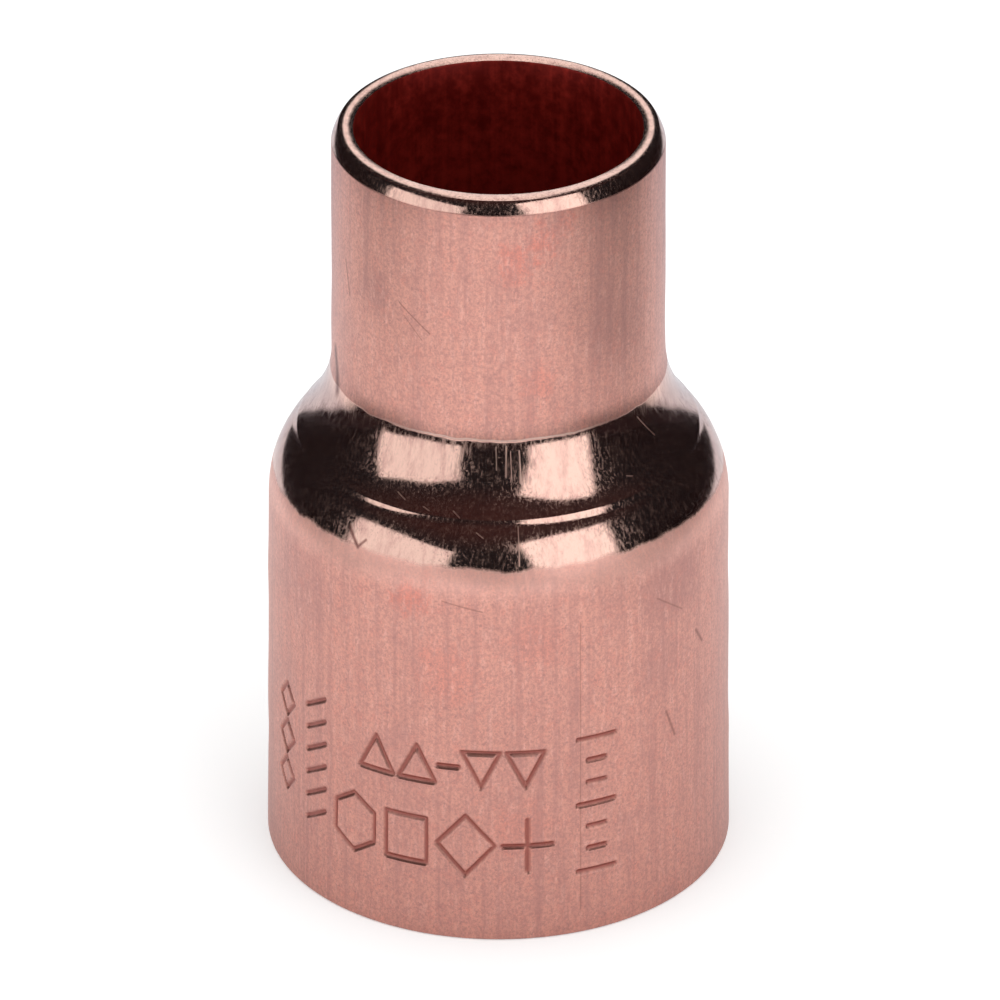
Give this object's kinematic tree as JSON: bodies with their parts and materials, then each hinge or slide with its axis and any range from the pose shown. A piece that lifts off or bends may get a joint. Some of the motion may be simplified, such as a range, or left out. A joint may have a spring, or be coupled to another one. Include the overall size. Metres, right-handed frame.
{
  "type": "concentric reducer",
  "caption": "Copper solder reducer: a round body with a tube socket at each end, a polished shoulder and a narrower coaxial neck, for joining tubes of different sizes.",
  "frame": {"origin": "centre of the large socket's end face, which is the bottom centre of the part's box when it stands on its large end", "axes": "+Z along the common axis of both sockets, from the large socket to the small one; the body is round, so +X and +Y are free choices across it"},
  "size_m": [0.024, 0.024, 0.0361],
  "materials": {
    "copper": "drawn copper: satin cylinders with fine draw lines along the axis, polished shoulder and small end lip"
  },
  "bodies": {
    "root": {"reducer_body": "copper"}
  },
  "joints": []
}
